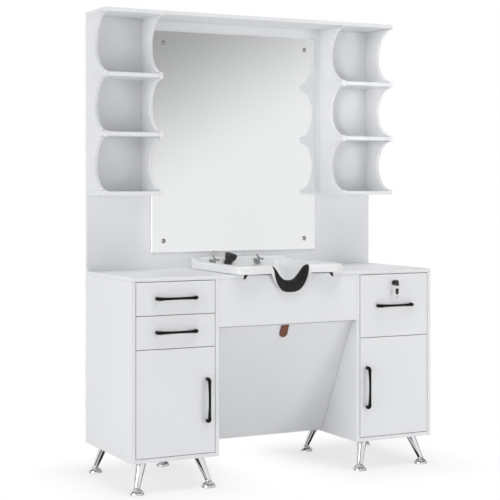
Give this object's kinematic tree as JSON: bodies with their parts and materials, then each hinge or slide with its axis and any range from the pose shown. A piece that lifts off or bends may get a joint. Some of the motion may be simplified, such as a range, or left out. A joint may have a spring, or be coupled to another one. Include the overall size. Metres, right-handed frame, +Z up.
{
  "type": "shampoo station",
  "caption": "Salon shampoo station: a worktop with a backwash bowl and neck rest on leg-mounted drawer and door cabinets, under a tall mirror flanked by open scalloped shelves.",
  "frame": {"origin": "on the floor, under the centre of the bounding box", "axes": "+Z up, -Y towards the person using the station, +X to the right when facing the mirror"},
  "size_m": [1.4, 0.56, 1.9403],
  "materials": {
    "white_board": "white satin melamine on particle board",
    "white_plastic": "white glossy moulded plastic",
    "black_metal": "black semi-gloss powder coat",
    "black_rubber": "black matte moulded",
    "chrome": "polished chrome plate",
    "steel": "nickel-plated steel",
    "mirror_glass": "silvered glass with polished edges",
    "brown_leather": "reddish brown, matte"
  },
  "bodies": {
    "station": {"apron": "white_board", "back_panel": "white_board", "bowl": "white_plastic", "countertop": "white_board", "drain_fitting": "chrome", "left_back_inner_leg": "chrome", "left_back_outer_leg": "chrome", "left_front_inner_leg": "chrome", "left_front_outer_leg": "chrome", "right_back_inner_leg": "chrome", "right_back_outer_leg": "chrome", "right_front_inner_leg": "chrome", "right_front_outer_leg": "chrome", "left_cabinet_bottom": "white_board", "left_cabinet_divider": "white_board", "left_cabinet_inner_side": "white_board", "left_cabinet_outer_side": "white_board", "right_cabinet_bottom": "white_board", "right_cabinet_divider": "white_board", "right_cabinet_inner_side": "white_board", "right_cabinet_outer_side": "white_board", "left_door_lower_hinge": "steel", "left_door_upper_hinge": "steel", "right_door_lower_hinge": "steel", "right_door_upper_hinge": "steel", "left_shelf_inner_side": "white_board", "left_shelf_outer_side": "white_board", "left_shelf_lower": "white_board", "left_shelf_middle": "white_board", "left_shelf_upper": "white_board", "right_shelf_inner_side": "white_board", "right_shelf_outer_side": "white_board", "right_shelf_lower": "white_board", "right_shelf_middle": "white_board", "right_shelf_upper": "white_board", "mirror": "mirror_glass", "mixer_body": "chrome", "neck_rest": "black_rubber", "top_board": "white_board"},
    "left_upper_drawer": {"left_upper_drawer_front": "white_board", "left_upper_drawer_box": "white_board", "left_upper_drawer_handle": "black_metal"},
    "left_lower_drawer": {"left_lower_drawer_front": "white_board", "left_lower_drawer_box": "white_board", "left_lower_drawer_handle": "black_metal"},
    "right_drawer": {"right_drawer_front": "white_board", "right_drawer_box": "white_board", "right_drawer_handle": "black_metal", "lock_cylinder": "chrome"},
    "left_door": {"left_door": "white_board", "left_door_handle": "black_metal"},
    "right_door": {"right_door": "white_board", "right_door_handle": "black_metal"},
    "access_panel": {"access_panel": "white_board", "pull_tab": "brown_leather"},
    "hot_tap": {"hot_tap_handle": "chrome"},
    "cold_tap": {"cold_tap_handle": "chrome"},
    "sprayer": {"sprayer": "black_rubber"},
    "lock_key": {"lock_key": "steel"},
    "spare_key": {"spare_key": "steel"}
  },
  "joints": [
    {"name": "left_upper_drawer_slide", "type": "slide", "parent": "station", "child": "left_upper_drawer", "axis": [0, -1, 0], "range_m": [0, 0.3]},
    {"name": "left_lower_drawer_slide", "type": "slide", "parent": "station", "child": "left_lower_drawer", "axis": [0, -1, 0], "range_m": [0, 0.3]},
    {"name": "right_drawer_slide", "type": "slide", "parent": "station", "child": "right_drawer", "axis": [0, -1, 0], "range_m": [0, 0.3]},
    {"name": "left_door_hinge", "type": "hinge", "parent": "station", "child": "left_door", "pos_m": [-0.683, -0.235, 0.3543], "axis": [0, 0, -1], "range_deg": [0, 110]},
    {"name": "right_door_hinge", "type": "hinge", "parent": "station", "child": "right_door", "pos_m": [0.683, -0.235, 0.353], "axis": [0, 0, 1], "range_deg": [0, 110]},
    {"name": "access_panel_hinge", "type": "hinge", "parent": "station", "child": "access_panel", "pos_m": [0, 0.05782, 0.1471], "axis": [1, 0, 0], "range_deg": [0, 40]},
    {"name": "hot_tap_turn", "type": "hinge", "parent": "station", "child": "hot_tap", "pos_m": [-0.14, 0.20857, 0.87131], "axis": [0, -0.8412, 0.5407], "range_deg": [0, 90]},
    {"name": "cold_tap_turn", "type": "hinge", "parent": "station", "child": "cold_tap", "pos_m": [0.077, 0.20857, 0.87131], "axis": [0, -0.8412, 0.5407], "range_deg": [0, 90]},
    {"name": "sprayer_pull", "type": "slide", "parent": "station", "child": "sprayer", "axis": [0, -0.8412, 0.5407], "range_m": [0, 0.12]},
    {"name": "key_turn", "type": "hinge", "parent": "right_drawer", "child": "lock_key", "pos_m": [0.5115, -0.235, 0.793], "axis": [0, -1, 0], "range_deg": [0, 90]},
    {"name": "key_ring_swing", "type": "hinge", "parent": "lock_key", "child": "spare_key", "pos_m": [0.5115, -0.259, 0.793], "axis": [-1, 0, 0], "range_deg": [-10, 60]}
  ]
}
